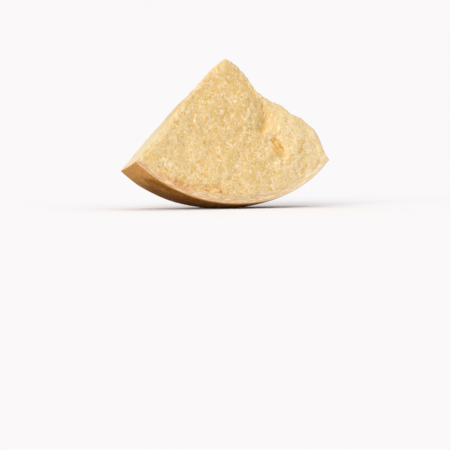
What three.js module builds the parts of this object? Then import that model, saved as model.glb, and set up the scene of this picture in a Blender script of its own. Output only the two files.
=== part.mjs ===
import * as THREE from 'three';

// A chunk broken from a wheel of hard cheese: a full-radius sector that stands on its rind and
// leans back on the belly of it. Millimetres, +Z up, front face towards -Y, the origin in the
// middle of the small flat that it rests on.

// Driving sizes
const RIM_RADIUS = 210; // centre of the wheel to the rind, on the front face
const TIP_RADIUS = 8.5; // centre of the wheel to the blunt tip
const BELLY_RADIUS = 235; // bulge of the rind from the front face to the back face
const THICKNESS = 76; // front face to back face, at the rind
const TIP_THICKNESS = 14; // the same at the tip, where the back has broken away
const LEAN_DEG = 14; // how far the front face leans back
const FLAT_CUT = 1.3; // depth of the flat that the rind rests on
const FACET_ROWS = 62; // rows of facets from the tip to the rind, and columns along the rind
const DEPTH_LAYERS = 10; // rows of facets from the front face to the back face

// Edges of the front face: distance from the centre of the wheel, and angle from straight down
const LEFT_EDGE = [
  [8.5, 30], [13, -10], [23, -34], [32, -38.3], [48, -41], [66, -42.4], [90, -43], [150, -42.8], [210, -43.5],
];
const RIGHT_EDGE = [
  [8.5, 30], [11, 42], [19, 51.2], [40, 51], [50, 46.6], [58, 44.4], [76, 43.3], [83, 43.2], [90, 45.9],
  [98, 47.9], [112, 50.1], [122, 49.8], [132, 50.2], [143, 51.9], [155, 51.8], [168, 51.5], [184, 49.1],
  [202, 46], [210, 45.4],
];
// How far the left face turns in from its front edge to its back edge, in degrees, along the radius
const LEFT_TURN = [[8.5, 0], [30, 5], [60, 3.6], [90, 1.2], [120, 1.1], [150, 0.6], [180, 0.6], [210, 0.8]];
// How far the rind stands out of its round shape, in millimetres, by angle from straight down
const RIND_BULGE = [[-44, 0], [0, 0], [24, 1.2], [46, 1.2]];
// Thickness, as the fraction of the way from the tip's to the rind's, along the radius
const THICKENING = [[8.5, 0], [60, 0.3], [120, 0.7], [150, 0.86], [180, 0.97], [210, 1]];

// Broken surfaces: low swells, and crags with flat tops between cracks
const SWELL_SIZE = 58;
const SWELL_DEPTH = 2.2;
const CRAG_SIZE = 21;
const CRAG_DEPTH = 1.15;
const FLAKE_SIZE = 12;
const FLAKE_DEPTH = 0.7;
const CRAG_STRETCH = 1.5; // crags are longer along the radius than across it
const CUT_FACE_RELIEF = 0.22; // the left face is nearly smooth
const SIDE_RELIEF = 1.5; // the right face is the roughest
const RIM_CALM = 20; // the paste is close and smooth this far from the rind
const EDGE_WEAR = 1.3; // corners between broken faces are chipped back by this much
const EDGE_WEAR_WIDTH = 6;
const EDGE_CALM = 0.4; // share of the front face's relief that is left at its left and right edges
const EDGE_CALM_WIDTH = 14;
const BACK_RELIEF = 1.4;
const LOST_CORNER = 9; // broken away from the back face at its left end, next to the rind
const LOST_CORNER_WIDTH = 36;
const RIND_RELIEF = 0.25;

// Creases in the front face, as [down, across] from the centre of the wheel along their bottom: the
// deep one that runs down from the notch in the right edge, and the one in the lobe beyond it. Their
// left flank is a long slope and their right flank is steep.
const CREASES = [
  {
    path: [[61, 56], [76, 55.3], [84, 58], [91.5, 59.4], [101, 57.3], [110, 50], [120, 39]],
    start: 58, end: 122, depth: 4.6, leftWidth: 17, rightWidth: 6.5,
  },
  {
    path: [[114, 66], [122.5, 73], [127, 76], [134, 79], [139.5, 80.5], [145, 78], [152, 71]],
    start: 108, end: 156, depth: 5.4, leftWidth: 15, rightWidth: 4.5,
  },
];

// Hollows in the front face, and swells where the depth is negative, by their middle across and
// down from the centre of the wheel, half sizes, turn in degrees, and depth
const HOLLOWS = [
  { across: 92, down: 118, halfWidth: 34, halfHeight: 46, turn: 0, depth: -3.6 },
  { across: -39, down: 185, halfWidth: 15, halfHeight: 6, turn: 10, depth: 3 },
  { across: -74, down: 181, halfWidth: 16, halfHeight: 5, turn: 24, depth: 2.4 },
  { across: 15, down: 112, halfWidth: 7, halfHeight: 9, turn: 20, depth: 2 },
  { across: 12, down: 151, halfWidth: 6, halfHeight: 10, turn: 0, depth: 1.6 },
  { across: 104, down: 165, halfWidth: 7, halfHeight: 12, turn: -8, depth: 1.8 },
  { across: 22, down: 62, halfWidth: 16, halfHeight: 26, turn: -20, depth: -2 },
  { across: -72, down: 132, halfWidth: 8, halfHeight: 22, turn: 0, depth: 1.5 },
  { across: -90, down: 118, halfWidth: 6.5, halfHeight: 16, turn: -18, depth: 1.3 },
];

const { degToRad: radians, radToDeg: degrees } = THREE.MathUtils;
const { smoothstep, lerp } = THREE.MathUtils;
const lean = radians(LEAN_DEG);
const upFace = new THREE.Vector3(0, Math.sin(lean), Math.cos(lean));
const inward = new THREE.Vector3(0, Math.cos(lean), -Math.sin(lean));
const restDepth = BELLY_RADIUS * Math.tan(lean);
const wheelCentre = upFace.clone().multiplyScalar(rindRadius(restDepth)).addScaledVector(inward, -restDepth);
wheelCentre.z -= FLAT_CUT;

function rindRadius(depth) {
  return RIM_RADIUS - depth ** 2 / (2 * BELLY_RADIUS);
}

// Smooth curve through a short list of [position, value] pairs
function along(points, position) {
  let next = 1;
  while (next < points.length - 1 && points[next][0] < position) next += 1;
  const [before, start, end, after] = [-2, -1, 0, 1].map(
    (offset) => points[Math.min(Math.max(next + offset, 0), points.length - 1)],
  );
  const span = end[0] - start[0];
  const share = Math.min(Math.max((position - start[0]) / span, 0), 1);
  const startSlope = ((end[1] - before[1]) / (end[0] - before[0])) * span;
  const endSlope = ((after[1] - start[1]) / (after[0] - start[0])) * span;
  const square = share ** 2;
  const cube = share ** 3;
  return start[1] * (2 * cube - 3 * square + 1) + end[1] * (3 * square - 2 * cube)
    + startSlope * (cube - 2 * square + share) + endSlope * (cube - square);
}

// Repeatable random value from 0 to 1 for one cell of a grid
function chance(column, row, seed) {
  let mixed = Math.imul(column, 374761393) ^ Math.imul(row, 668265263) ^ Math.imul(seed, 1442695041);
  mixed = Math.imul(mixed ^ (mixed >>> 13), 1274126177);
  mixed = Math.imul(mixed ^ (mixed >>> 15), 1911520717);
  return ((mixed ^ (mixed >>> 16)) >>> 0) / 4294967296;
}

// Soft swells from -1 to 1
function swell(x, y, size, seed) {
  const [column, row] = [Math.floor(x / size), Math.floor(y / size)];
  const across = smoothstep(x / size - column, 0, 1);
  const down = smoothstep(y / size - row, 0, 1);
  const near = lerp(chance(column, row, seed), chance(column + 1, row, seed), across);
  const far = lerp(chance(column, row + 1, seed), chance(column + 1, row + 1, seed), across);
  return 2 * lerp(near, far, down) - 1;
}

// Crags from about -1 to 1: each cell has a height and a slope of its own, and falls away at its border
function crag(x, y, size, seed) {
  const [middleColumn, middleRow] = [Math.floor(x / size), Math.floor(y / size)];
  const cells = [];
  for (let column = middleColumn - 1; column <= middleColumn + 1; column += 1) {
    for (let row = middleRow - 1; row <= middleRow + 1; row += 1) {
      const dx = x / size - column - 0.15 - 0.7 * chance(column, row, seed);
      const dy = y / size - row - 0.15 - 0.7 * chance(column, row, seed + 1);
      const height = 1.3 * chance(column, row, seed + 2) - 0.65;
      const slopeX = 1.8 * chance(column, row, seed + 3) - 0.9;
      const slopeY = 1.8 * chance(column, row, seed + 4) - 0.9;
      cells.push({ distance: Math.hypot(dx, dy), level: height + slopeX * dx + slopeY * dy });
    }
  }
  cells.sort((first, second) => first.distance - second.distance);
  const border = cells[1].distance - cells[0].distance;
  const own = 0.5 + 0.5 * smoothstep(border, 0, 0.3);
  return lerp(cells[1].level, cells[0].level, own) + 0.35 * (1 - smoothstep(border, 0, 0.22));
}

// Depth of a broken surface below its plain form, from its two coordinates in millimetres
function broken(x, y, seed) {
  return SWELL_DEPTH * swell(x, y, SWELL_SIZE, seed)
    + CRAG_DEPTH * crag(x, y / CRAG_STRETCH, CRAG_SIZE, seed + 10)
    + FLAKE_DEPTH * crag(x, y / CRAG_STRETCH, FLAKE_SIZE, seed + 20);
}

function hollow(across, down, shape) {
  const cos = Math.cos(radians(shape.turn));
  const sin = Math.sin(radians(shape.turn));
  const [dx, dy] = [across - shape.across, down - shape.down];
  const reach = Math.hypot((dx * cos + dy * sin) / shape.halfWidth, (dy * cos - dx * sin) / shape.halfHeight);
  return shape.depth * (1 - smoothstep(reach, 0.25, 1.25));
}

function crease(across, down, shape) {
  const slant = (along(shape.path, down + 1) - along(shape.path, down - 1)) / 2;
  const aside = (across - along(shape.path, down)) / Math.hypot(1, slant);
  const width = aside < 0 ? shape.leftWidth : shape.rightWidth;
  const length = shape.end - shape.start;
  const fade = smoothstep(down, shape.start, shape.start + 0.4 * length)
    * (1 - smoothstep(down, shape.end - 0.4 * length, shape.end));
  return shape.depth * fade * Math.max(1 - Math.abs(aside) / width, 0);
}

function calm(radius) {
  return lerp(0.12, 1, smoothstep(RIM_RADIUS - radius, 2, RIM_CALM));
}

function sideAngle(edge, radius, depthShare) {
  const turn = edge === LEFT_EDGE ? along(LEFT_TURN, radius) * depthShare : 0;
  return radians(along(edge, radius) + turn);
}

// How far a side face is broken back or stands out, as an angle
function sideRelief(edge, radius, depth) {
  const near = calm(radius) * smoothstep(radius, 15, 70) / Math.max(radius, 30);
  if (edge === LEFT_EDGE) return near * CUT_FACE_RELIEF * broken(depth, radius, 31);
  return -near * SIDE_RELIEF * smoothstep(depth, 8, 30) * broken(depth, radius, 57);
}

// Angle at a share of the way from the left face to the right face
function angleAt(sideShare, radius, depth, depthShare) {
  const [left, right] = [LEFT_EDGE, RIGHT_EDGE].map(
    (edge) => sideAngle(edge, radius, depthShare) + sideRelief(edge, radius, depth),
  );
  return lerp(left, right, sideShare);
}

// Distance from a point of the front or back face to the nearer of its left and right edges
function edgeDistance(angle, radius, depthShare) {
  const fromLeft = angle - sideAngle(LEFT_EDGE, radius, depthShare);
  const fromRight = sideAngle(RIGHT_EDGE, radius, depthShare) - angle;
  return Math.max(0, radius * Math.min(fromLeft, fromRight));
}

function frontDepth(radius, angle) {
  const across = radius * Math.sin(angle);
  const down = radius * Math.cos(angle);
  const inside = edgeDistance(angle, radius, 0);
  const dents = HOLLOWS.reduce((sum, shape) => sum + hollow(across, down, shape), 0);
  const creases = CREASES.reduce((sum, shape) => sum + crease(across, down, shape), 0);
  const relief = broken(across, down, 3) + dents;
  const level = relief * lerp(EDGE_CALM, 1, smoothstep(inside, 0, EDGE_CALM_WIDTH));
  const chipped = EDGE_WEAR * (1 - smoothstep(inside, 0, EDGE_WEAR_WIDTH));
  return calm(radius) * (level + chipped + creases);
}

function backDepth(radius, angle) {
  const plain = lerp(TIP_THICKNESS, THICKNESS, along(THICKENING, radius));
  const relief = BACK_RELIEF * smoothstep(radius, 10, 60)
    * broken(radius * Math.sin(angle), radius * Math.cos(angle), 91);
  const chipped = EDGE_WEAR * (1 - smoothstep(edgeDistance(angle, radius, 1), 0, EDGE_WEAR_WIDTH));
  const fromLeft = radius * (angle - sideAngle(LEFT_EDGE, radius, 1));
  const lost = LOST_CORNER * smoothstep(radius, 140, RIM_RADIUS)
    * (1 - smoothstep(fromLeft, 0, LOST_CORNER_WIDTH));
  return plain - lost - calm(radius) * (relief + chipped);
}

// Point of the solid by row from the tip, share of the way from the left to the right face, and
// share of the way from the front to the back
function place(row, share, depthShare) {
  const sideShare = row === 0 ? 0.5 : share;
  const nominal = lerp(TIP_RADIUS, RIM_RADIUS, row / FACET_ROWS);
  const front = frontDepth(nominal, angleAt(sideShare, nominal, 0, 0));
  const back = backDepth(nominal, angleAt(sideShare, nominal, THICKNESS, 1));
  const depth = lerp(front, back, depthShare);
  const angle = angleAt(sideShare, nominal, depthShare === 1 ? THICKNESS : depth, depthShare);
  let radius = (nominal / RIM_RADIUS) * (rindRadius(depth) + along(RIND_BULGE, degrees(angle)));
  if (row === FACET_ROWS) radius += RIND_RELIEF * swell(angle * RIM_RADIUS, depth, 26, 71);
  const point = wheelCentre.clone()
    .addScaledVector(upFace, -radius * Math.cos(angle))
    .addScaledVector(inward, depth);
  point.x += radius * Math.sin(angle);
  point.z = Math.max(point.z, 0);
  return point;
}

function cheeseGeometry() {
  const positions = [];
  const triangle = (first, second, third) => {
    for (const point of [first, second, third]) positions.push(point.x, point.y, point.z);
  };
  const quad = (first, second, third, fourth) => {
    triangle(first, second, third);
    triangle(first, third, fourth);
  };

  // Front and back faces, row by row from the tip
  for (const depthShare of [0, 1]) {
    const rows = [];
    for (let row = 0; row <= FACET_ROWS; row += 1) {
      const shares = Array.from({ length: row + 1 }, (_, column) => column / Math.max(row, 1));
      rows.push(shares.map((share) => place(row, share, depthShare)));
    }
    const facet = depthShare ? (a, b, c) => triangle(a, c, b) : triangle;
    for (let row = 0; row < FACET_ROWS; row += 1) {
      for (let column = 0; column <= row; column += 1) {
        facet(rows[row][column], rows[row + 1][column], rows[row + 1][column + 1]);
        if (column < row) facet(rows[row][column], rows[row + 1][column + 1], rows[row][column + 1]);
      }
    }
  }

  // Left and right faces from the front to the back, and the rind from the left to the right
  for (let layer = 0; layer < DEPTH_LAYERS; layer += 1) {
    const [near, far] = [layer / DEPTH_LAYERS, (layer + 1) / DEPTH_LAYERS];
    for (let step = 0; step < FACET_ROWS; step += 1) {
      quad(place(step, 0, near), place(step, 0, far), place(step + 1, 0, far), place(step + 1, 0, near));
      quad(place(step, 1, near), place(step + 1, 1, near), place(step + 1, 1, far), place(step, 1, far));
      const [start, end] = [step / FACET_ROWS, (step + 1) / FACET_ROWS];
      quad(
        place(FACET_ROWS, start, near), place(FACET_ROWS, start, far),
        place(FACET_ROWS, end, far), place(FACET_ROWS, end, near),
      );
    }
  }

  const geometry = new THREE.BufferGeometry();
  geometry.setAttribute('position', new THREE.Float32BufferAttribute(positions, 3));
  geometry.computeVertexNormals();
  return geometry;
}

const paste = new THREE.MeshStandardMaterial({ color: '#e8c98e', roughness: 0.72, metalness: 0 });
const chunk = new THREE.Mesh(cheeseGeometry(), paste);
chunk.name = 'parmesan_chunk';

const group = new THREE.Group();
group.name = 'parmesan_chunk_set';
group.add(chunk);

export default group;
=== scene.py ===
import math
from typing import NamedTuple

import bmesh
import bpy
import numpy as np
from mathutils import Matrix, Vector, noise


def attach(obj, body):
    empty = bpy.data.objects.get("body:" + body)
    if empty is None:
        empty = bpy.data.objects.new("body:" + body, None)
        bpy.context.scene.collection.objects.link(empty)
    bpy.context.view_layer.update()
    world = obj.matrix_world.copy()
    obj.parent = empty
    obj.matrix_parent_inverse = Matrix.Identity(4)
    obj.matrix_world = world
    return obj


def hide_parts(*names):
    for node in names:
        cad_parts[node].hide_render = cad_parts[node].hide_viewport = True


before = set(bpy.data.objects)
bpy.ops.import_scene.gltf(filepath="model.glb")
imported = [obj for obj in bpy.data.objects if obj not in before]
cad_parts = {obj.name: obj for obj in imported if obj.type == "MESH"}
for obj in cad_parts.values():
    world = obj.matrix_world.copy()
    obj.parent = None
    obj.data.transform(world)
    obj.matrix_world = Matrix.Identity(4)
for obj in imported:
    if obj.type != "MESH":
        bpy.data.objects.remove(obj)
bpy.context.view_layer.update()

bl_info = {
    "name": "Cheese Chunk",
    "version": (1, 0, 0),
    "blender": (4, 5, 0),
    "location": "3D View > Sidebar > Cheese",
    "description": "Builds a chunk broken from a wheel of hard cheese, standing on its rind in a pale studio",
    "category": "Add Mesh",
}

NODE = "parmesan_chunk"
PASTE, RIND = 0, 1
VALUE, VECTOR = "NodeSocketFloat", "NodeSocketVector"
HALF = Vector((0.5, 0.5, 0.5))

# Seed of the noise vectors, which are drawn anew at each start of Blender without one
NOISE_SEED = 1
MM_PER_M = 1000

# Making the fine mesh: distances in metres
MERGE_DISTANCE = 2e-6
FLAT_HEIGHT = 1e-5
RIND_TOLERANCE = 0.0009
SHARP_ANGLE = math.radians(38)
ROUNDING_ROUNDS = 9

# Rounds of averaging that find the surface close round a point, and the wide surface round it
CLOSE_ROUNDS = 14
WIDE_ROUNDS = 90

# Direction that the smooth cut face looks in, and how far a point looks there, to the left or to the right
# where the masks of the cut face, the walls and the slopes with painted shade start and are full
CUT_FACE_WAY = np.array((-0.75, 0.2, 0.62))
CUT_FACE_FACING = 0.55, 0.85
WALL_FACING = 0.36, 0.66
SHADED_SLOPE_FACING = 0.08, 0.38

# Evening out the front face, in millimetres: the deepest hollow that is filled on the lobe and off it, the
# height that ridges lose at most, and the heights from which ridges stay. The rest are shares of the depth.
DEEPEST_FILLED = 3
DEEPEST_OFF_LOBE = 1.3
MOST_LOWERED = -1
RIDGES_STAY = -2, -1
FILL_ON_LOBE = 1.1
FILL_OFF_LOBE = 0.35
LOWER_ON_LOBE = 0.6
LOWER_OFF_LOBE = 0.35

# Fine relief: how much weaker it is on the cut face and on the lobe, how strong it is at the rim, in calm
# areas and where paste meets rind, and how much stronger it is on ridges of a height in millimetres
CUT_FACE_CALM = 0.75
LOBE_CALM = 0.55
RIM_STRENGTH = 0.12
CALM_STRENGTH = 0.35
SEAM_STRENGTH = 0.5
RIDGE_GAIN = 1.1
RIDGE_HEIGHT = 1.5

# Facets: how much level and tilt count, how wide the edge between two facets is as a share of their size, and
# the factors that draw a facet's level and tilt from its centre
FACET_LEVEL = 0.5
FACET_TILT = 1.5
FACET_EDGE = 0.16
LEVEL_DRAW = 9.7
TILT_DRAW = 5.3

# Fine relief: sizes in metres. A swirl has a size and how far it shifts the pattern.
SWIRLS = ((0.03, 0.0035), (0.007, 0.0012))
LAYER_SQUASH = 0.85
ROUGH_AREA = 0.024
ROUGH_NOISE = -0.25, 0.3
DENT_SIZE = 0.021
CRUMB_STRETCH = 1.15

# Ranges over which a shape or tone goes from its start to its end, in metres. Across and down count from the
# centre of the wheel, along counts to the right from the middle of the rind, and below counts inwards from
# the rind. Depth counts from the front face, and height from the floor.
BULGE_ALONG = 0.0, 0.088
FRONT_DEPTH = 0.02
LOBE_ACROSS = 0.074, 0.086
VALLEY_ACROSS = 0.098, 0.083
CALM_BELOW = 0.001, 0.016
DENTS_HEIGHT = 0.0, 0.004
PALE_LOBE_ACROSS = 0.040, 0.075
PAINTED_LIGHT_ACROSS = 0.078, 0.110
PALE_LEFT = 0.110, 0.200
DEEP_TIP_DOWN = 0.120, 0.030
GOLDEN_CUT_BELOW = 0.040, 0.120
AMBER_START_BELOW = 0.0055, 0.0085
AMBER_END_BELOW = 0.019, 0.013
AMBER_LEFT_ALONG = -0.125, -0.098
AMBER_RIGHT_ALONG = 0.004, -0.030
AMBER_RISES_ALONG = -0.095, -0.035
RIM_WIDENS_ALONG = -0.15, 0.06
LINE_BELOW = 0.0024, 0.0011
EDGE_BELOW = 0.0012, 0.0005
COLOURS_ALONG = -0.13, 0.14
SHADED_MIDDLE_ALONG = 0.115, 0.06
LIT_ENDS_ALONG = 0.118, 0.148
LIT_LEFT_END_ALONG = -0.126, -0.146
LIT_FRONT_DEPTH = 0.040, 0.0
LIT_FRONT_ALONG = 0.125, 0.150
SHADED_DEPTH = 0.008, 0.045
SHADED_ALONG = 0.130, 0.100
LIGHT_EDGES_ALONG = 0.100, 0.145
FRONT_EDGE_DEPTH = 0.006, 0.001
FRONT_EDGE_ALONG = 0.02, 0.10

# How much paler the paste is on the lobe, and how much of the valley's painted shade is left there
LOBE_PALENESS = 0.85
LOBE_VALLEY = 0.2


class Patch(NamedTuple):
    """A patch of the front face: middle and half sizes in metres, turn in degrees, and strength of tones."""

    across: float
    down: float
    half_across: float
    half_down: float
    turn: float
    deep: float = 0.0
    amber: float = 0.0
    plain: float = 0.0


# A patch fades out between these multiples of its half sizes
PATCH_EDGE = 1.2, 0.6
PATCH_TONES = ("deep", "amber", "plain")
PATCHES = (
    # The lower crease: its floor, deepened with painted shade, and its wall
    Patch(0.0680, 0.1325, 0.0066, 0.0150, -20, deep=1.3, amber=0.35, plain=0.5),
    Patch(0.0765, 0.1290, 0.0024, 0.0098, -24, deep=0.8, amber=1.15, plain=0.3),
    # The upper crease: its floor, deepened with painted shade, its top and its line
    Patch(0.0495, 0.0975, 0.0065, 0.0150, 19, deep=0.8, plain=0.4),
    Patch(0.0545, 0.0735, 0.0019, 0.0065, 0, deep=0.6, amber=0.9),
    Patch(0.0610, 0.0890, 0.0025, 0.0090, -8, deep=0.2, amber=0.15),
    # Small spots beside and below the creases
    Patch(0.0685, 0.1165, 0.0020, 0.0045, -10, deep=0.4, amber=0.5),
    Patch(0.0740, 0.1525, 0.0030, 0.0050, 20, deep=0.5, amber=0.4),
    Patch(0.1060, 0.1640, 0.0045, 0.0060, -30, deep=0.7, amber=0.25),
    # Amber patches above the rim
    Patch(-0.0430, 0.1860, 0.0170, 0.0045, -8, deep=0.8, amber=0.45),
    Patch(-0.0900, 0.1745, 0.0065, 0.0030, -22, deep=0.6, amber=0.45),
    # Plain patches in the middle and at the left
    Patch(-0.0720, 0.1320, 0.0080, 0.0210, 0, plain=0.8),
    Patch(-0.0900, 0.1180, 0.0065, 0.0150, -18, plain=0.8),
    Patch(-0.0210, 0.0800, 0.0130, 0.0090, 10, deep=0.3, plain=0.8),
)


def colour(code):
    """Scene-linear RGBA from a hexadecimal colour as it looks on screen."""
    channels = [int(code[place : place + 2], 16) / 255 for place in (1, 3, 5)]
    return [c / 12.92 if c <= 0.04045 else ((c + 0.055) / 1.055) ** 2.4 for c in channels] + [1.0]


def length(name, description, default):
    return bpy.props.FloatProperty(
        name=name, description=description, default=default, unit="LENGTH", precision=5
    )


def angle(name, description, degrees):
    return bpy.props.FloatProperty(
        name=name, description=description, default=math.radians(degrees), subtype="ANGLE"
    )


def tint(name, description, code):
    return bpy.props.FloatVectorProperty(
        name=name, description=description, default=colour(code), size=4, subtype="COLOR", min=0, max=1
    )


def factor(name, description, default, top=1.0):
    return bpy.props.FloatProperty(name=name, description=description, default=default, min=0, max=top)


class CheeseForm(bpy.types.PropertyGroup):
    """Sizes of the chunk and of its broken surface"""

    rim_radius: length("Rim radius", "Centre of the wheel to the rind, on the front face", 0.210)
    belly_radius: length("Belly radius", "Bulge of the rind from the front face to the back face", 0.235)
    rind_bulge: length("Rind bulge", "How far the rind's right end stands out of its round shape", 0.0012)
    lean: angle("Lean", "How far the front face leans back", 14)
    flat_cut: length("Flat", "Depth of the flat that the rind rests on", 0.0013)
    facet_cuts: bpy.props.IntProperty(
        name="Facet cuts", description="Cuts in each edge of the solid's facets", default=3, min=0, max=3
    )
    flake_size: length("Flake size", "Width of the layered flakes", 0.0125)
    flake_depth: length("Flake depth", "Height of a step between flakes", 0.0006)
    crumb_size: length("Crumb size", "Width of the crumbs", 0.0052)
    crumb_depth: length("Crumb depth", "How far crumbs stand out", 0.00036)
    grain_size: length("Grain size", "Width of the finest grains in the mesh", 0.0024)
    grain_depth: length("Grain depth", "Height of the finest grains in the mesh", 0.00024)
    rind_relief: length("Rind relief", "Height of the dents in the rind", 0.00025)


class CheesePatterns(bpy.types.PropertyGroup):
    """Sizes of the patterns in the paste and in the rind"""

    crumbs: length("Crumbs", "Width of the tones of single crumbs", 0.0036)
    grains: length("Grains", "Width of the finest tones", 0.0017)
    clouds: length("Clouds", "Width of light and deep clouds", 0.0060)
    wide_clouds: length("Wide clouds", "Width of the wide pale areas", 0.028)
    rough_areas: length("Rough areas", "Width of the areas with a stronger grain", 0.019)
    pieces: length("Pieces", "Width of the pieces between pale lines", 0.0110)
    line_areas: length("Line areas", "Width of the areas with pale lines", 0.015)
    pits: length("Pits", "Spacing of the amber pits", 0.0080)
    large_crystals: length("Large crystals", "Spacing of the largest crystals", 0.0105)
    crystals: length("Crystals", "Spacing of the middle-sized crystals", 0.0075)
    small_crystals: length("Small crystals", "Spacing of the smallest crystals", 0.0043)
    roughening: length("Roughening", "Width of the finest bumps", 0.0009)
    crumb_bump: length("Crumb bump", "Height of the bumps of crumbs", 0.0005)
    grain_bump: length("Grain bump", "Height of the bumps of grains", 0.00022)
    rim_left: length("Left rim width", "Thickness of the rim at its left end", 0.009)
    rim_right: length("Right rim width", "Thickness of the rim at its right end", 0.014)
    rim_layers: length("Rim layers", "Thickness of the layers in the rim", 0.0020)
    rim_waves: length("Rim waves", "Width of the waves in the upper edge of the rim", 0.012)
    rim_wander: length("Rim wander", "Height of the same waves", 0.012)
    amber_areas: length("Amber areas", "Width of the amber patches above the rim", 0.010)
    amber_specks: length("Amber specks", "Width of the specks in them", 0.0034)
    amber_rise: length("Amber rise", "How much higher they lie to the right", 0.006)
    rind_patches: length("Rind patches", "Width of the browned patches", 0.017)
    rind_brushing: length("Rind brushing", "Width of the brush marks", 0.0018)
    rind_specks: length("Rind specks", "Width of the specks in the rind", 0.0026)
    rind_pores: length("Rind pores", "Spacing of the pores in the rind", 0.0040)
    rind_waves: length("Rind waves", "Width of the soft bumps in the rind", 0.0060)
    rind_bump: length("Rind bump", "Height of the bumps in the rind", 0.0004)
    rind_wander: length("Rind wander", "How far the tones of its ends wander", 0.03)


class CheeseColours(bpy.types.PropertyGroup):
    """Colours of the paste and the rind"""

    paste: tint("Paste", "Main colour of the broken paste", "#debb7a")
    paste_light: tint("Light paste", "Raised and freshly broken paste", "#ebd5a5")
    # Deep paste: a deeper tone in clouds, crumbs and patches, and painted shade in valleys, gaps, crease
    # floors and on slopes facing right
    paste_deep_and_shade: tint("Deep paste", "Paste in hollows and between crumbs", "#deb25d")
    cut: tint("Cut face", "Paste of the smooth left face", "#e9dab9")
    crystal: tint("Crystals", "Small pale crystals in the paste", "#f2dfc4")
    wall: tint("Walls", "Steep walls of the creases", "#d3b465")
    pit: tint("Pits", "Small amber pits in the paste", "#d8a040")
    rim_left: tint("Left rim", "Paste close under the rind, at the left end", "#d8a47d")
    rim: tint("Rim", "The same in the middle", "#d4b591")
    rim_right: tint("Right rim", "The same at the right end", "#e4cea6")
    # Left rim line: the crust's edge at the left end, with a painted highlight
    line_left_highlight: tint("Left rim line", "Edge of the crust at the left end", "#d6943c")
    # Rim line: the crust's edge in the middle, darkened with painted shade where the rind rests
    line: tint("Rim line", "The same in the middle", "#a56a26")
    line_right: tint("Right rim line", "The same at the right end", "#e6d3b4")
    amber: tint("Amber", "Patches of the paste above the rim", "#d39045")
    rind: tint("Rind", "Main colour of the rind", "#b5792b")
    # Light rind: pale patches and marks, painted light at the golden ends and a painted highlight on worn
    # edges
    rind_light_and_lit_ends: tint("Light rind", "Golden ends and rubbed edges of the rind", "#e6a558")
    # Rind end: painted light on the left end, which faces the key light, and on the front of the ends
    rind_lit_end: tint("Rind end", "The left end of the rind, beside the cut face", "#f8b86c")
    # Dark rind: browned patches, marks and pores, and painted shade in the middle where the rind rests, at
    # its back and in the crust's edge
    rind_dark_and_shade: tint("Dark rind", "Browned patches of the rind", "#8a501d")


class StudioSettings(bpy.types.PropertyGroup):
    """Floor, lights and camera"""

    floor: tint("Floor", "Colour of the floor", "#fdfbfc")
    floor_bounce: tint("Floor bounce", "Colour of the light that the floor throws back", "#b5b0a8")
    floor_radius: length("Floor radius", "Middle of the floor to its edge", 14)
    floor_drop: length("Floor drop", "How far the floor lies below the chunk", 0.0001)
    floor_sides: bpy.props.IntProperty(
        name="Floor sides", description="Straight sides of the round floor", default=96, min=3
    )
    backdrop: tint("Backdrop", "Colour behind the floor", "#faf8f9")
    ambient: factor("Ambient", "Light from all round", 0.77, 5)
    key: factor("Key", "Strength of the soft main light", 2.38, 50)
    key_spread: angle("Key spread", "Size of the main light in the sky", 50)
    key_from: bpy.props.FloatVectorProperty(
        name="Key from", description="Direction that the main light comes from", default=(-0.74, -0.61, 0.26)
    )
    camera: bpy.props.FloatVectorProperty(
        name="Camera",
        description="Where the camera stands",
        default=(-0.7975, -1.5575, 0.0637),
        subtype="TRANSLATION",
    )
    aim: bpy.props.FloatVectorProperty(
        name="Aim",
        description="What the camera looks at",
        default=(0.0279, 0.0355, -0.0262),
        subtype="TRANSLATION",
    )
    view_angle: angle("View angle", "Angle across the picture", 20)
    view_reach: length("View reach", "How far the camera sees", 100)


def smooth(low, high, value):
    share = min(max((value - low) / (high - low), 0.0), 1.0)
    return share * share * (3 - 2 * share)


def share_between(values, low, high):
    """How far each value lies on its way from low to high, from 0 to 1."""
    return np.clip((values - low) / (high - low), 0, 1)


class WheelPlace:
    """Where a point lies in the whole wheel: across and below its centre, and behind the front face."""

    def __init__(self, form):
        lean = form.lean
        self.rim, self.belly, self.bulge = form.rim_radius, form.belly_radius, form.rind_bulge
        self.up = Vector((0, math.sin(lean), math.cos(lean)))
        self.inward = Vector((0, math.cos(lean), -math.sin(lean)))
        rest_depth = self.belly * math.tan(lean)
        self.centre = self.up * self.rind_radius(rest_depth) - self.inward * rest_depth
        self.centre.z -= form.flat_cut

    def rind_radius(self, depth):
        return self.rim - depth**2 / (2 * self.belly)

    def face_plane(self, point):
        """Across and down from the centre of the wheel, and depth behind the front face."""
        offset = point - self.centre
        return offset.x, -offset.dot(self.up), offset.dot(self.inward)

    def below_rind(self, point):
        across, down, depth = self.face_plane(point)
        bulge = self.bulge * smooth(*BULGE_ALONG, math.atan2(across, down) * self.rim)
        return self.rind_radius(depth) + bulge - math.hypot(across, down)


def refine(bm, place, cuts):
    """Marks the rind, cuts every facet into smaller ones and rounds them off between the sharp corners."""
    bmesh.ops.remove_doubles(bm, verts=bm.verts, dist=MERGE_DISTANCE)
    for face in bm.faces:
        on_rind = all(place.below_rind(v.co) < RIND_TOLERANCE or v.co.z < FLAT_HEIGHT for v in face.verts)
        face.material_index = RIND if on_rind else PASTE
        face.smooth = True
    bmesh.ops.subdivide_edges(bm, edges=bm.edges[:], cuts=cuts, use_grid_fill=True)
    bm.normal_update()
    sharp = [e for e in bm.edges if len(e.link_faces) == 2 and e.calc_face_angle() > SHARP_ANGLE]
    corners = {v for e in sharp for v in e.verts}
    soft = [v for v in bm.verts if v not in corners and v.co.z >= FLAT_HEIGHT]
    for _ in range(ROUNDING_ROUNDS):
        bmesh.ops.smooth_vert(bm, verts=soft, factor=0.5, use_axis_x=True, use_axis_y=True, use_axis_z=True)
    bm.normal_update()


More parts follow.
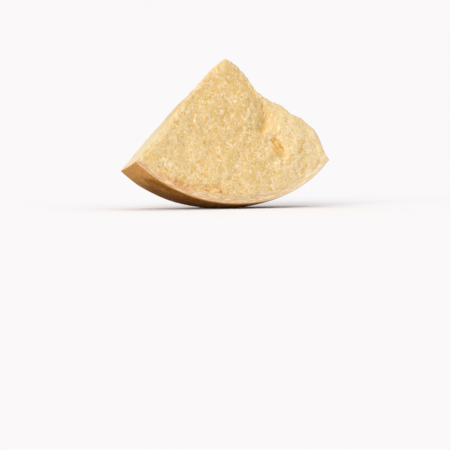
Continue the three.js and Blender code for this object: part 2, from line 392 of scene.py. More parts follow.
def facets(point, size):
    """Height from about -1 to 1 in a random pattern of flat facets, each with its own level and tilt."""
    distances, centres = noise.voronoi(point / size)

    def height(centre):
        tilt = noise.cell_vector(TILT_DRAW * centre) - HALF
        return FACET_LEVEL * noise.cell(LEVEL_DRAW * centre) + FACET_TILT * tilt.dot(point / size - centre)

    share = 0.5 + 0.5 * smooth(0, FACET_EDGE, distances[1] - distances[0])
    return height(centres[0]) * share + height(centres[1]) * (1 - share)


def broken_height(point, form):
    """Fine relief of the broken paste: flakes and crumbs with flat tops, and grains."""
    drawn = Vector((point.x, point.y, point.z * LAYER_SQUASH))
    swirls = [noise.noise_vector(point / size) * shift for size, shift in SWIRLS]
    drawn += swirls[0] + swirls[1]
    rough = CALM_STRENGTH + (1 - CALM_STRENGTH) * smooth(*ROUGH_NOISE, noise.noise(point / ROUGH_AREA))
    crumb = facets(drawn, form.crumb_size)
    grain = noise.noise(point / form.grain_size) + 0.5 * noise.noise(point / (0.5 * form.grain_size))
    fine = form.crumb_depth * crumb + form.grain_depth * grain
    return form.flake_depth * facets(drawn, form.flake_size) + rough * fine


def read_vectors(items, name, width):
    values = np.empty(len(items) * width)
    items.foreach_get(name, values)
    return values.reshape(-1, width)


def write_mask(mesh, name, values):
    mesh.attributes.new(name, "FLOAT", "POINT").data.foreach_set("value", values.astype(np.float32))


def depth_below(mesh, rounds):
    """How far each point lies below the surface round it, in millimetres; ridges are negative."""
    places = read_vectors(mesh.vertices, "co", 3)
    normals = read_vectors(mesh.vertex_normals, "vector", 3)
    first, second = read_vectors(mesh.edges, "vertices", 2).astype(int).T
    count = len(places)
    links = np.bincount(first, minlength=count) + np.bincount(second, minlength=count)
    around = places
    for _ in range(rounds):
        sums = [
            np.bincount(first, around[second, axis], count) + np.bincount(second, around[first, axis], count)
            for axis in range(3)
        ]
        around = np.stack(sums, axis=1) / links[:, None]
    return MM_PER_M * ((around - places) * normals).sum(axis=1)


def points_by_material(mesh):
    """A row for the paste and a row for the rind: 1 for each point that touches it."""
    touched = np.zeros((2, len(mesh.vertices)))
    for polygon in mesh.polygons:
        touched[polygon.material_index, list(polygon.vertices)] = 1
    return touched


def facing_masks(mesh, normals):
    """Stores as masks the cut face, the walls that face left and the slopes that face right, which get
    painted shade.
    """
    cut_face = share_between(normals @ CUT_FACE_WAY, *CUT_FACE_FACING)
    front = (1 - cut_face) * (normals[:, 1] < 0)
    write_mask(mesh, "cut_face", cut_face)
    write_mask(mesh, "wall", share_between(-normals[:, 0], *WALL_FACING) * front)
    write_mask(mesh, "shaded_slope", share_between(normals[:, 0], *SHADED_SLOPE_FACING) * front)
    return cut_face, front


def patch_masks(mesh, planes):
    """Stores how deep, how amber and how plain the patches make the paste, as masks."""
    tones = np.zeros((len(PATCH_TONES), len(planes)))
    for patch in PATCHES:
        cos, sin = math.cos(math.radians(patch.turn)), math.sin(math.radians(patch.turn))
        aside, along = planes[:, 0] - patch.across, planes[:, 1] - patch.down
        turned_aside, turned_along = aside * cos + along * sin, along * cos - aside * sin
        reach = np.hypot(turned_aside / patch.half_across, turned_along / patch.half_down)
        inside = share_between(reach, *PATCH_EDGE) * (planes[:, 2] < FRONT_DEPTH)
        tones = np.maximum(tones, np.outer([getattr(patch, name) for name in PATCH_TONES], inside))
    for name, values in zip(PATCH_TONES, tones):
        write_mask(mesh, name, values)


def evened(swells, lobe):
    """How far each point moves outwards, in millimetres, to even out swells. The lobe is evened out most."""
    fill = FILL_ON_LOBE * lobe + FILL_OFF_LOBE * (1 - lobe) * (swells < DEEPEST_OFF_LOBE)
    lower = LOWER_OFF_LOBE + (LOWER_ON_LOBE - LOWER_OFF_LOBE) * lobe
    lowered = np.clip(swells, MOST_LOWERED, 0) * lower * share_between(swells, *RIDGES_STAY)
    return np.clip(swells, 0, DEEPEST_FILLED) * fill + lowered


def relief(mesh, place, form):
    """Evens out the swells of the front face and lays the fine relief of paste and rind on every point."""
    noise.seed_set(NOISE_SEED)
    on_paste, on_rind = points_by_material(mesh)
    places = read_vectors(mesh.vertices, "co", 3)
    normals = read_vectors(mesh.vertex_normals, "vector", 3)
    planes = np.array([place.face_plane(Vector(co)) for co in places])
    cut_face, front = facing_masks(mesh, normals)
    patch_masks(mesh, planes)

    lobe = share_between(planes[:, 0], *LOBE_ACROSS)
    ridges = 1 + RIDGE_GAIN * share_between(-depth_below(mesh, CLOSE_ROUNDS), 0, RIDGE_HEIGHT)
    strength = (1 - CUT_FACE_CALM * cut_face**2) * (1 - LOBE_CALM * lobe * front) * ridges
    moved = evened(depth_below(mesh, WIDE_ROUNDS), lobe) * front / MM_PER_M
    places += normals * (moved * (planes[:, 2] < FRONT_DEPTH))[:, None]
    for index, (x, y, z) in enumerate(places):
        point = Vector((x, y, z))
        height = 0.0
        if on_paste[index]:
            calm = RIM_STRENGTH + (1 - RIM_STRENGTH) * smooth(*CALM_BELOW, place.below_rind(point))
            height = calm * strength[index] * broken_height(point, form)
        if on_rind[index]:
            dents = form.rind_relief * noise.noise(point / DENT_SIZE) * smooth(*DENTS_HEIGHT, z)
            height = SEAM_STRENGTH * height + dents
        places[index] += normals[index] * height
    places[:, 2] = np.maximum(places[:, 2], 0)
    mesh.vertices.foreach_set("co", places.ravel())
    mesh.update()


def hollow_masks(mesh):
    """Stores how far each point lies in a gap between crumbs and in a wide valley, in millimetres."""
    write_mask(mesh, "hollow", depth_below(mesh, CLOSE_ROUNDS))
    across = read_vectors(mesh.vertices, "co", 3)[:, 0]
    before_lobe = np.maximum(share_between(across, *VALLEY_ACROSS), LOBE_VALLEY)
    write_mask(mesh, "valley", depth_below(mesh, WIDE_ROUNDS) * before_lobe)


def add(tree, kind, inputs=(), **settings):
    """A node with its settings and inputs: an input is a value, or another node's output to link."""
    made = tree.nodes.new(kind)
    for name, value in settings.items():
        setattr(made, name, value)
    for socket, value in dict(inputs).items():
        if isinstance(value, bpy.types.NodeSocket):
            tree.links.new(value, made.inputs[socket])
        else:
            made.inputs[socket].default_value = value
    return made


def maths(tree, operation, *values, clamp=False):
    return add(tree, "ShaderNodeMath", enumerate(values), operation=operation, use_clamp=clamp).outputs[0]


def vector_maths(tree, operation, first, second):
    return add(tree, "ShaderNodeVectorMath", {0: first, 1: second}, operation=operation).outputs[0]


def ramp(tree, value, low, high, bottom=0.0, top=1.0):
    """A value taken smoothly from low..high to bottom..top."""
    inputs = {"Value": value, "From Min": low, "From Max": high, "To Min": bottom, "To Max": top}
    return add(tree, "ShaderNodeMapRange", inputs, interpolation_type="SMOOTHSTEP").outputs["Result"]


def blend(tree, share, first, second):
    """The second colour over the first. A share above 1 goes past the second."""
    inputs = {0: share, 6: first, 7: second}
    return add(tree, "ShaderNodeMix", inputs, data_type="RGBA", clamp_factor=False).outputs[2]


def new_group(name, inputs, outputs):
    """An empty node group. Each input has its default, or None for a vector, and each output has its kind."""
    tree = bpy.data.node_groups.new(name, "ShaderNodeTree")
    for socket, default in inputs.items():
        if default is None:
            tree.interface.new_socket(socket, in_out="INPUT", socket_type=VECTOR)
        else:
            tree.interface.new_socket(socket, in_out="INPUT", socket_type=VALUE).default_value = default
    for socket, kind in outputs.items():
        tree.interface.new_socket(socket, in_out="OUTPUT", socket_type=kind)
    return tree, tree.nodes.new("NodeGroupInput").outputs, tree.nodes.new("NodeGroupOutput").inputs


def place_group(place):
    """Where a point lies in the wheel, in metres, and its vectors in the front face, the rim and the rind."""
    values = {"Below Rind": VALUE, "Along Rind": VALUE, "Depth": VALUE}
    vectors = {"Face Vector": VECTOR, "Rim Vector": VECTOR, "Rind Vector": VECTOR}
    tree, _, out = new_group("wheel place", {}, values | vectors)
    point = add(tree, "ShaderNodeTexCoord").outputs["Object"]
    offset = vector_maths(tree, "SUBTRACT", point, place.centre)

    def along(axis):
        made = add(tree, "ShaderNodeVectorMath", {0: offset, 1: axis}, operation="DOT_PRODUCT")
        return made.outputs["Value"]

    def vector(*parts):
        return add(tree, "ShaderNodeCombineXYZ", dict(enumerate(parts))).outputs[0]

    across, up, depth = along((1, 0, 0)), along(place.up), along(place.inward)
    down = maths(tree, "MULTIPLY", up, -1.0)
    arc = maths(tree, "MULTIPLY", maths(tree, "ARCTAN2", across, down), place.rim)
    squares = maths(tree, "ADD", maths(tree, "POWER", across, 2.0), maths(tree, "POWER", down, 2.0))
    belly = maths(tree, "DIVIDE", maths(tree, "POWER", depth, 2.0), 2 * place.belly)
    bulge = ramp(tree, arc, *BULGE_ALONG, 0.0, place.bulge)
    rind = maths(tree, "SUBTRACT", maths(tree, "ADD", place.rim, bulge), belly)
    below = maths(tree, "SUBTRACT", rind, maths(tree, "SQRT", squares))
    for name, value in (
        ("Below Rind", below),
        ("Along Rind", arc),
        ("Depth", depth),
        ("Face Vector", vector(across, down, depth)),
        ("Rim Vector", vector(below, arc, depth)),
        ("Rind Vector", vector(depth, arc, below)),
    ):
        tree.links.new(value, out[name])
    return tree


def drawn_out(tree, vector, stretch):
    """The vector of a pattern that is drawn out along its second axis."""
    squash = add(tree, "ShaderNodeCombineXYZ", {0: 1.0, 1: maths(tree, "DIVIDE", 1.0, stretch), 2: 1.0})
    return vector_maths(tree, "MULTIPLY", vector, squash.outputs[0])


def mottle_group():
    """A soft cloudy mask from 0 to 1 at a given size, drawn out along the second axis."""
    inputs = {"Vector": None, "Size": 0.01, "Stretch": 1.0, "Detail": 3.0, "Contrast": 1.0}
    tree, given, out = new_group("mottle", inputs, {"Mask": VALUE})
    pattern = {
        "Vector": drawn_out(tree, given["Vector"], given["Stretch"]),
        "Scale": maths(tree, "DIVIDE", 1.0, given["Size"]),
        "Detail": given["Detail"],
        "Roughness": 0.6,
    }
    clouds = add(tree, "ShaderNodeTexNoise", pattern).outputs["Fac"]
    centred = maths(tree, "MULTIPLY", maths(tree, "SUBTRACT", clouds, 0.5), given["Contrast"])
    tree.links.new(maths(tree, "ADD", centred, 0.5, clamp=True), out["Mask"])
    return tree


def grain_group():
    """Crumbs: a random Tone for each, Crack between them and Height, from the size of a crumb."""
    inputs = {"Vector": None, "Size": 0.003, "Stretch": 1.0}
    tree, given, out = new_group("crumb grain", inputs, {"Tone": VALUE, "Crack": VALUE, "Height": VALUE})
    scale = maths(tree, "DIVIDE", 1.0, given["Size"])
    drawn = drawn_out(tree, given["Vector"], given["Stretch"])
    wander = add(tree, "ShaderNodeTexNoise", {"Vector": drawn, "Scale": scale, "Detail": 2.0})
    shift = vector_maths(tree, "SUBTRACT", wander.outputs["Color"], HALF)
    reach = maths(tree, "MULTIPLY", given["Size"], 0.9)
    shift = add(tree, "ShaderNodeVectorMath", {0: shift, "Scale": reach}, operation="SCALE").outputs[0]
    vector = vector_maths(tree, "ADD", drawn, shift)
    cells = add(tree, "ShaderNodeTexVoronoi", {"Vector": vector, "Scale": scale})
    edges = add(tree, "ShaderNodeTexVoronoi", {"Vector": vector, "Scale": scale}, feature="DISTANCE_TO_EDGE")
    tone = add(tree, "ShaderNodeSeparateColor", {0: cells.outputs["Color"]}).outputs[0]
    inside = ramp(tree, edges.outputs["Distance"], 0.0, 0.22)
    tree.links.new(tone, out["Tone"])
    tree.links.new(maths(tree, "SUBTRACT", 1.0, inside), out["Crack"])
    tree.links.new(maths(tree, "ADD", maths(tree, "MULTIPLY", tone, 0.8), inside), out["Height"])
    return tree


def speck_group():
    """Small round specks: a mask from their spacing, the share of them that shows, and their radius."""
    inputs = {"Vector": None, "Spacing": 0.006, "Share": 0.3, "Radius": 0.2}
    tree, given, out = new_group("specks", inputs, {"Mask": VALUE})
    scale = maths(tree, "DIVIDE", 1.0, given["Spacing"])
    cells = add(tree, "ShaderNodeTexVoronoi", {"Vector": given["Vector"], "Scale": scale})
    chance = add(tree, "ShaderNodeSeparateColor", {0: cells.outputs["Color"]})
    fine = maths(tree, "MULTIPLY", scale, 3.0)
    wobble = add(tree, "ShaderNodeTexNoise", {"Vector": given["Vector"], "Scale": fine})
    radius = maths(tree, "MULTIPLY", given["Radius"], ramp(tree, chance.outputs[1], 0.0, 1.0, 0.5, 1.3))
    radius = maths(tree, "MULTIPLY", radius, ramp(tree, wobble.outputs["Fac"], 0.3, 0.7, 0.5, 1.5))
    inside = maths(tree, "DIVIDE", cells.outputs["Distance"], radius)
    shape = ramp(tree, inside, 1.15, 0.75)
    shown = maths(tree, "LESS_THAN", chance.outputs[0], given["Share"])
    tree.links.new(maths(tree, "MULTIPLY", shape, shown), out["Mask"])
    return tree


def new_material(name):
    material = bpy.data.materials.new(name)
    material.use_nodes = True
    tree = material.node_tree
    return material, tree, tree.nodes["Principled BSDF"]


def set_sockets(shader, values):
    for name, value in values.items():
        shader.inputs[name].default_value = value


class Paint:
    """A material under way: its nodes, the shared patterns on one vector of the wheel, and its colour."""

    def __init__(self, name, vector, groups, colours, patterns):
        self.material, self.tree, self.shader = new_material(name)
        self.groups, self.colours, self.sizes = groups, colours, patterns
        self.place = self.pattern("place")
        self.vector, self.arc = self.place[vector], self.place["Along Rind"]
        self.hollow = self.mask("hollow")
        self.tones = None

    def pattern(self, group, **values):
        """The outputs of a shared node group, with its inputs given by name."""
        inputs = {name.capitalize(): value for name, value in values.items()}
        return add(self.tree, "ShaderNodeGroup", inputs, node_tree=self.groups[group]).outputs

    def mottle(self, size, stretch=1.0, detail=3.0, contrast=1.0, vector=None):
        values = {"size": size, "stretch": stretch, "detail": detail, "contrast": contrast}
        return self.pattern("mottle", vector=self.vector if vector is None else vector, **values)["Mask"]

    def specks(self, spacing, share, radius):
        return self.pattern("specks", vector=self.vector, spacing=spacing, share=share, radius=radius)["Mask"]

    def crumbs(self, size):
        return self.pattern("grain", vector=self.vector, size=size, stretch=CRUMB_STRETCH)

    def mask(self, name):
        """A mask that is stored in the mesh."""
        return add(self.tree, "ShaderNodeAttribute", attribute_name=name).outputs["Fac"]

    def ramp(self, value, low, high, bottom=0.0, top=1.0):
        return ramp(self.tree, value, low, high, bottom, top)

    def total(self, first, *others):
        for other in others:
            first = maths(self.tree, "ADD", first, other)
        return first

    def product(self, first, *others):
        for other in others:
            first = maths(self.tree, "MULTIPLY", first, other)
        return first

    def difference(self, first, second):
        return maths(self.tree, "SUBTRACT", first, second)

    def over(self, share, tone):
        """Lays a tone over the colour so far."""
        self.tones = blend(self.tree, share, self.tones, tone)

    def lay(self, *rows):
        """Lays tones over the colour so far. A row's share grows as its pattern goes from start to full."""
        for pattern, start, full, share, tone in rows:
            self.over(self.ramp(pattern, start, full, 0.0, share), tone)

    def along_rind(self, left, middle, right):
        """A tone that goes from the left end of the rind over its middle to the right end."""
        share = self.ramp(self.arc, *COLOURS_ALONG)
        first = blend(self.tree, self.ramp(share, 0.05, 0.4), left, middle)
        return blend(self.tree, self.ramp(share, 0.5, 0.95), first, right)

    def bump(self, height, distance, strength, under=None):
        inputs = {"Height": height, "Distance": distance, "Strength": strength}
        if under is not None:
            inputs["Normal"] = under
        return add(self.tree, "ShaderNodeBump", inputs).outputs["Normal"]

    def finish(self, roughness, normal, values):
        """Links the colour, the roughness and the normal to the shader, and sets its other sockets."""
        for name, value in (("Base Color", self.tones), ("Roughness", roughness), ("Normal", normal)):
            self.tree.links.new(value, self.shader.inputs[name])
        set_sockets(self.shader, values)
        return self.material


class PastePaint(Paint):
    """The broken paste, its smooth cut face and the rim under the rind."""

    def __init__(self, *shared):
        super().__init__("broken paste", "Face Vector", *shared)
        parts = add(self.tree, "ShaderNodeSeparateXYZ", {0: self.vector}).outputs
        self.across, self.down, self.below = parts[0], parts[1], self.place["Below Rind"]
        self.cut_face = self.mask("cut_face")
        self.crumb, self.grain = self.crumbs(self.sizes.crumbs), self.crumbs(self.sizes.grains)
        self.clouds = self.mottle(self.sizes.clouds, stretch=1.2, detail=5.0, contrast=2.8)
        self.rough_areas = self.mottle(self.sizes.rough_areas, stretch=1.4, contrast=3.0)
        self.lobe = self.ramp(self.across, *PALE_LOBE_ACROSS, 0.0, LOBE_PALENESS)
        wander = self.difference(self.mottle(self.sizes.rim_waves, stretch=0.6), 0.5)
        self.rim_distance = self.total(self.below, self.product(wander, self.sizes.rim_wander))

    def on_lobe(self, elsewhere, there):
        return self.ramp(self.lobe, 0.0, LOBE_PALENESS, elsewhere, there)

    def broad_tones(self):
        """Paler on the lobe, at the left, in wide clouds and, as painted light, at the right end. Deeper near
        the tip, with painted shade in valleys, on crease floors and on slopes that face right.
        """
        colours = self.colours
        wide = self.mottle(self.sizes.wide_clouds, stretch=1.2, contrast=2.4)
        left = self.ramp(self.difference(self.down, self.across), *PALE_LEFT, 0.0, 0.35)
        # Painted light: paler towards the right end, where the key light leaves the face in shade
        end = self.ramp(self.across, *PAINTED_LIGHT_ACROSS, 0.0, 0.30)
        self.tones = colours.paste
        self.over(self.total(self.product(wide, 0.38), self.lobe, left, end), colours.paste_light)
        self.lay(
            (self.rough_areas, 0.5, 0.1, 0.4, colours.paste_deep_and_shade),
            (self.down, *DEEP_TIP_DOWN, 0.2, colours.paste_deep_and_shade),
            # Painted shade in valleys, on slopes that face right and on the crease floors of the deep patches
            (self.mask("valley"), 0.35, 1.5, 0.6, colours.paste_deep_and_shade),
            (self.mask("shaded_slope"), 0.0, 1.0, 0.3, colours.paste_deep_and_shade),
            (self.mask("deep"), 0.0, 1.0, 1.0, colours.paste_deep_and_shade),
        )
        self.over(self.product(self.mask("wall"), 0.5), colours.wall)

    def granular_tones(self):
        """Clouds, crumbs, grains and cracks, weaker in plain patches and on the lobe, and amber patches."""
        colours, plain = self.colours, self.tones
        self.lay(
            (self.clouds, 0.5, 1.0, 0.8, colours.paste_deep_and_shade),
            (self.clouds, 0.5, 0.0, 0.85, colours.paste_light),
            (self.crumb["Tone"], 0.5, 1.0, 0.6, colours.paste_light),
            (self.crumb["Tone"], 0.5, 0.0, 0.5, colours.paste_deep_and_shade),
            (self.grain["Tone"], 0.6, 1.0, 0.5, colours.crystal),
            (self.grain["Tone"], 0.35, 0.0, 0.35, colours.paste_deep_and_shade),
        )
        self.over(self.product(self.crumb["Crack"], 0.25), colours.paste_deep_and_shade)
        rough = self.ramp(self.rough_areas, 0.3, 0.7, 0.55, 1.6)
        rough = self.product(rough, self.difference(1.0, self.mask("plain")), self.on_lobe(1.0, 0.85))
        self.tones = blend(self.tree, rough, plain, self.tones)
        self.over(self.mask("amber"), colours.pit)

    def gaps_and_ridges(self):
        """Painted shade in the gaps between crumbs, and paler on ridges, but not at the chunk's sharp
        corners.
        """
        # Painted shade in the gaps between crumbs
        self.over(self.ramp(self.hollow, 0.12, 0.9, 0.0, self.on_lobe(0.6, 0.2)), self.colours.paste_deep_and_shade)
        ridge = self.ramp(self.hollow, -0.08, -0.7, 0.0, 0.55)
        inside_corners = self.ramp(self.hollow, -1.6, -0.9)
        self.over(self.product(ridge, inside_corners), self.colours.paste_light)

    def pits_and_crystals(self):
        """Amber pits, pale lines between pieces, and crystals in three sizes."""
        colours, sizes = self.colours, self.sizes
        pits = self.specks(sizes.pits, share=0.26, radius=0.15)
        self.over(self.product(pits, self.on_lobe(0.5, 0.12)), colours.pit)
        lines = self.ramp(self.crumbs(sizes.pieces)["Crack"], 0.80, 1.0)
        areas = self.mottle(sizes.line_areas, stretch=0.8, detail=2.0, contrast=4.0)
        self.over(self.product(lines, areas, 0.6), colours.crystal)
        for spacing, share, radius, strength in (
            (sizes.large_crystals, 0.40, 0.21, 0.85),
            (sizes.crystals, 0.30, 0.22, 0.7),
            (sizes.small_crystals, 0.35, 0.24, 0.6),
        ):
            self.over(self.product(self.specks(spacing, share, radius), strength), colours.crystal)

    def cut_face_tones(self):
        """The cut face is pale and even, and more golden away from the rind."""
        inner = self.ramp(self.below, *GOLDEN_CUT_BELOW, 0.0, 0.7)
        golden = self.total(self.product(self.clouds, 0.3), inner)
        tone = blend(self.tree, golden, self.colours.cut, self.colours.paste)
        self.over(self.ramp(self.cut_face, 0.6, 0.95, 0.0, 0.92), tone)

    def rim(self):
        """The greyish rim under the rind, with layers along the rind, weaker on the cut face."""
        colours, sizes = self.colours, self.sizes
        layers = self.mottle(sizes.rim_layers, stretch=7.0, contrast=4.5, vector=self.place["Rim Vector"])
        tone = self.along_rind(colours.rim_left, colours.rim, colours.rim_right)
        tone = blend(self.tree, self.ramp(layers, 0.5, 1.0, 0.0, 0.45), tone, colours.amber)
        tone = blend(self.tree, self.ramp(layers, 0.5, 0.0, 0.0, 1.0), tone, colours.crystal)
        width = self.ramp(self.arc, *RIM_WIDENS_ALONG, sizes.rim_left, sizes.rim_right)
        share = self.ramp(maths(self.tree, "DIVIDE", self.rim_distance, width), 1.1, 0.7, 0.0, 0.7)
        off_cut_face = self.difference(1.0, self.product(self.cut_face, 0.8))
        self.over(self.product(share, off_cut_face), tone)

    def amber_band(self):
        """Speckled amber patches in a band above the rim, that rises to the right."""
        sizes = self.sizes
        rise = self.ramp(self.arc, *AMBER_RISES_ALONG, 0.0, sizes.amber_rise)
        raised = self.difference(self.rim_distance, rise)
        areas = self.mottle(sizes.amber_areas, stretch=0.8, detail=4.0, contrast=2.2)
        specks = self.mottle(sizes.amber_specks, stretch=1.2, contrast=4.0)
        share = self.product(
            self.ramp(raised, *AMBER_START_BELOW),
            self.ramp(raised, *AMBER_END_BELOW),
            self.ramp(self.arc, *AMBER_LEFT_ALONG),
            self.ramp(self.arc, *AMBER_RIGHT_ALONG),
            self.ramp(areas, 0.3, 0.65),
            self.ramp(specks, 0.25, 0.75, 0.4, 1.05),
        )
        self.over(share, self.colours.amber)

    def rim_lines(self):
        """The edge of the crust, with a painted highlight at its left end, and the rind's own colour where it
        meets the paste, both with painted shade in the middle, where the rind rests.
        """
        colours = self.colours
        # Painted highlight at the left end and painted shade in the middle, where the rind rests
        line = self.along_rind(colours.line_left_highlight, colours.line, colours.line_right)
        edge = self.along_rind(colours.rind, colours.rind_dark_and_shade, colours.line_right)
        self.lay((self.below, *LINE_BELOW, 0.9, line), (self.below, *EDGE_BELOW, 0.9, edge))

    def surface(self):
        """A dull paste that lets some light in, with bumps of crumbs and grains, weaker on the cut face."""
        rugged = self.product(self.difference(1.0, self.product(self.cut_face, 0.7)), 0.35)
        roughening = self.mottle(self.sizes.roughening, detail=2.0, contrast=2.0)
        fine = self.total(self.grain["Height"], self.product(roughening, 0.8))
        coarse_normal = self.bump(self.crumb["Height"], self.sizes.crumb_bump, rugged)
        normal = self.bump(fine, self.sizes.grain_bump, rugged, under=coarse_normal)
        roughness = self.ramp(self.crumb["Tone"], 0.0, 1.0, 0.62, 0.78)
        values = {
            "Specular IOR Level": 0.3,
            "Subsurface Weight": 0.15,
            "Subsurface Radius": (1.0, 0.6, 0.25),
            "Subsurface Scale": 0.003,
        }
        return self.finish(roughness, normal, values)


class RindPaint(Paint):
    """The browned rind, darkest in its middle and golden at its ends, by painted shade where it rests and
    painted light at its ends.
    """

    def __init__(self, *shared):
        super().__init__("browned rind", "Rind Vector", *shared)
        self.depth = self.place["Depth"]
        self.patches = self.mottle(self.sizes.rind_patches, stretch=1.6, detail=5.0, contrast=3.4)
        self.brushed = self.mottle(self.sizes.rind_brushing, stretch=3.0, detail=4.0, contrast=2.6)
        self.pores = self.specks(self.sizes.rind_pores, share=0.35, radius=0.15)
        wander = self.product(self.difference(self.patches, 0.5), -self.sizes.rind_wander)
        self.from_middle = self.total(maths(self.tree, "ABSOLUTE", self.arc), wander)

    def broad_tones(self):
        """Browned patches, painted shade in the dark middle and at the back, and painted light at the golden
        ends and at the front of the ends.
        """
        colours = self.colours
        self.tones = colours.rind
        self.lay(
            (self.patches, 0.5, 1.0, 0.6, colours.rind_dark_and_shade),
            (self.patches, 0.5, 0.0, 0.3, colours.rind_light_and_lit_ends),
            # Painted shade in the middle, where the rind rests on the floor
            (self.from_middle, *SHADED_MIDDLE_ALONG, 0.75, colours.rind_dark_and_shade),
            # Painted light: golden ends, most at the left end, which faces the key light
            (self.from_middle, *LIT_ENDS_ALONG, 1.15, colours.rind_light_and_lit_ends),
            (self.arc, *LIT_LEFT_END_ALONG, 0.9, colours.rind_lit_end),
        )
        # Painted light at the front of the ends
        highlit = self.ramp(self.from_middle, *LIT_FRONT_ALONG, 0.0, 0.6)
        self.over(self.product(self.ramp(self.depth, *LIT_FRONT_DEPTH), highlit), colours.rind_lit_end)
        # Painted shade towards the back
        shaded = self.ramp(self.from_middle, *SHADED_ALONG, 0.0, 0.6)
        self.over(self.product(self.ramp(self.depth, *SHADED_DEPTH), shaded), colours.rind_dark_and_shade)

    def fine_tones(self):
        """Brush marks, specks and pores."""
        colours = self.colours
        speckled = self.mottle(self.sizes.rind_specks, stretch=1.3, detail=4.0, contrast=3.0)
        for marks, dark, light in ((self.brushed, 0.50, 0.40), (speckled, 0.55, 0.44)):
            self.lay((marks, 0.5, 1.0, dark, colours.rind_dark_and_shade), (marks, 0.5, 0.0, light, colours.rind_light_and_lit_ends))
        self.over(self.product(self.pores, 0.5), colours.rind_dark_and_shade)

    def edges(self):
        """Golden edges, worn and with a painted highlight, strongest at the lit ends, and a pale front edge
        at the right.
        """
        # Painted highlight with wear on the edges, strongest at the lit ends
        strength = self.ramp(self.from_middle, *LIGHT_EDGES_ALONG, 0.05, 0.7)
        self.over(self.product(self.ramp(self.hollow, -0.25, -0.9), strength), self.colours.rind_light_and_lit_ends)
        front = self.product(self.ramp(self.depth, *FRONT_EDGE_DEPTH), self.ramp(self.arc, *FRONT_EDGE_ALONG))
        self.over(self.product(front, 0.9), self.colours.line_right)

    def surface(self):
        """A dull rind with soft bumps, brush marks and pores."""
        waves = self.mottle(self.sizes.rind_waves, stretch=2.0, detail=4.0, contrast=1.5)
        height = self.difference(waves, self.product(self.pores, 0.6))
        height = self.total(height, self.product(self.brushed, 0.25))
        normal = self.bump(height, self.sizes.rind_bump, 0.6)
        roughness = self.ramp(self.patches, 0.0, 1.0, 0.50, 0.66)
        return self.finish(roughness, normal, {"Specular IOR Level": 0.05})


def paste_material(*shared):
    paint = PastePaint(*shared)
    paint.broad_tones()
    paint.granular_tones()
    paint.gaps_and_ridges()
    paint.pits_and_crystals()
    paint.cut_face_tones()
    paint.rim()
    paint.amber_band()
    paint.rim_lines()
    return paint.surface()


def rind_material(*shared):
    paint = RindPaint(*shared)
    paint.broad_tones()
    paint.fine_tones()
    paint.edges()
    return paint.surface()


def new_object(scene, name, data):
    made = bpy.data.objects.new(name, data)
    scene.collection.objects.link(made)
    return made


class CHEESE_OT_build_chunk(bpy.types.Operator):
    """Builds the chunk: a fine mesh over the plain solid, with a broken paste and a browned rind"""

    bl_idname = "cheese.build_chunk"
    bl_label = "Build the chunk"

    def execute(self, context):
        scene = context.scene
        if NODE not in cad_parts:
            raise RuntimeError(f"the frame holds no node named {NODE}")
        place = WheelPlace(scene.cheese_form)
        bm = bmesh.new()
        bm.from_mesh(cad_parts[NODE].data)
        refine(bm, place, scene.cheese_form.facet_cuts)
        mesh = bpy.data.meshes.new("cheese_chunk")
        bm.to_mesh(mesh)
        bm.free()
        relief(mesh, place, scene.cheese_form)
        hollow_masks(mesh)
        groups = {
            "place": place_group(place),
            "mottle": mottle_group(),
            "grain": grain_group(),
            "specks": speck_group(),
        }
        shared = groups, scene.cheese_colours, scene.cheese_patterns
        mesh.materials.append(paste_material(*shared))
        mesh.materials.append(rind_material(*shared))
        chunk = new_object(scene, "cheese_chunk", mesh)
        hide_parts(NODE)
        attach(chunk, "root")
        return {"FINISHED"}


def build_floor(scene, studio):
    """A pale floor that throws back less light than the camera sees."""
    bm = bmesh.new()
    bmesh.ops.create_circle(bm, cap_ends=True, radius=studio.floor_radius, segments=studio.floor_sides)
    mesh = bpy.data.meshes.new("studio_floor")
    bm.to_mesh(mesh)
    bm.free()
    floor = new_object(scene, "studio_floor", mesh)
    floor.location.z = -studio.floor_drop
    material, tree, shader = new_material("floor")
    seen = add(tree, "ShaderNodeLightPath").outputs["Is Camera Ray"]
    tree.links.new(blend(tree, seen, studio.floor_bounce, studio.floor), shader.inputs["Base Color"])
    set_sockets(shader, {"Roughness": 1.0, "Specular IOR Level": 0.0})
    mesh.materials.append(material)


def build_world(scene, studio):
    """White light from all round, and the backdrop's colour where the camera sees past the floor."""
    world = bpy.data.worlds.new("studio")
    world.use_nodes = True
    scene.world = world
    tree = world.node_tree
    tree.nodes.clear()
    seen = add(tree, "ShaderNodeBackground", {"Color": studio.backdrop, "Strength": 1.0}).outputs[0]
    lit = add(tree, "ShaderNodeBackground", {"Color": (1, 1, 1, 1), "Strength": studio.ambient}).outputs[0]
    camera_ray = add(tree, "ShaderNodeLightPath").outputs["Is Camera Ray"]
    mixed = add(tree, "ShaderNodeMixShader", {0: camera_ray, 1: lit, 2: seen}).outputs[0]
    add(tree, "ShaderNodeOutputWorld", {"Surface": mixed})


def build_key(scene, studio):
    """The soft main light, from the left."""
    lamp = bpy.data.lights.new("key", "SUN")
    lamp.energy = studio.key
    lamp.angle = studio.key_spread
    key = new_object(scene, "key", lamp)
    key.rotation_euler = Vector(studio.key_from).to_track_quat("Z", "Y").to_euler()


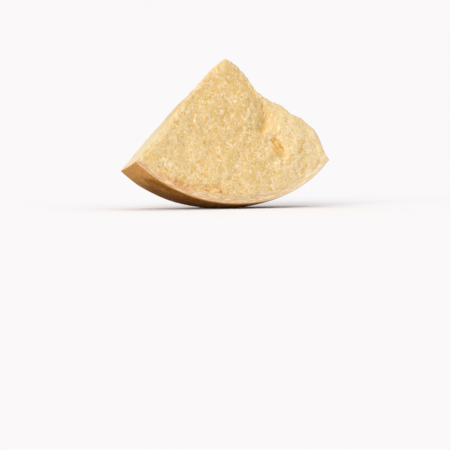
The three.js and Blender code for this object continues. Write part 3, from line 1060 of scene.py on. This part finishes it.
def build_camera(scene, studio):
    lens = bpy.data.cameras.new("camera")
    lens.angle = studio.view_angle
    lens.clip_end = studio.view_reach
    camera = new_object(scene, "camera", lens)
    camera.location = studio.camera
    sight = Vector(studio.camera) - Vector(studio.aim)
    camera.rotation_euler = sight.to_track_quat("Z", "Y").to_euler()
    scene.camera = camera


class CHEESE_OT_build_studio(bpy.types.Operator):
    """Builds the studio: a pale floor, a pale backdrop, a soft key light and the camera"""

    bl_idname = "cheese.build_studio"
    bl_label = "Build the studio"

    def execute(self, context):
        for build in (build_floor, build_world, build_key, build_camera):
            build(context.scene, context.scene.cheese_studio)
        context.scene.view_settings.view_transform = "Standard"
        context.scene.view_settings.look = "None"
        return {"FINISHED"}


class CHEESE_PT_panel(bpy.types.Panel):
    """Lists the pieces with their sizes and colours"""

    bl_idname = "CHEESE_PT_panel"
    bl_label = "Cheese chunk"
    bl_space_type = "VIEW_3D"
    bl_region_type = "UI"
    bl_category = "Cheese"

    def draw(self, context):
        for title, operator, settings in (
            ("Chunk", "cheese.build_chunk", ("cheese_form", "cheese_patterns", "cheese_colours")),
            ("Studio", "cheese.build_studio", ("cheese_studio",)),
        ):
            box = self.layout.box()
            box.label(text=title)
            box.operator(operator)
            for name in settings:
                group = getattr(context.scene, name)
                for prop in group.bl_rna.properties:
                    if prop.identifier not in {"rna_type", "name"}:
                        box.prop(group, prop.identifier)


SETTINGS = {
    "cheese_form": CheeseForm,
    "cheese_patterns": CheesePatterns,
    "cheese_colours": CheeseColours,
    "cheese_studio": StudioSettings,
}
CLASSES = (*SETTINGS.values(), CHEESE_OT_build_chunk, CHEESE_OT_build_studio, CHEESE_PT_panel)


def register():
    for item in CLASSES:
        bpy.utils.register_class(item)
    for name, group in SETTINGS.items():
        setattr(bpy.types.Scene, name, bpy.props.PointerProperty(type=group))


def unregister():
    for name in SETTINGS:
        delattr(bpy.types.Scene, name)
    for item in reversed(CLASSES):
        bpy.utils.unregister_class(item)


def main():
    register()
    bpy.ops.cheese.build_chunk()
    bpy.ops.cheese.build_studio()


if __name__ == "__main__":
    main()
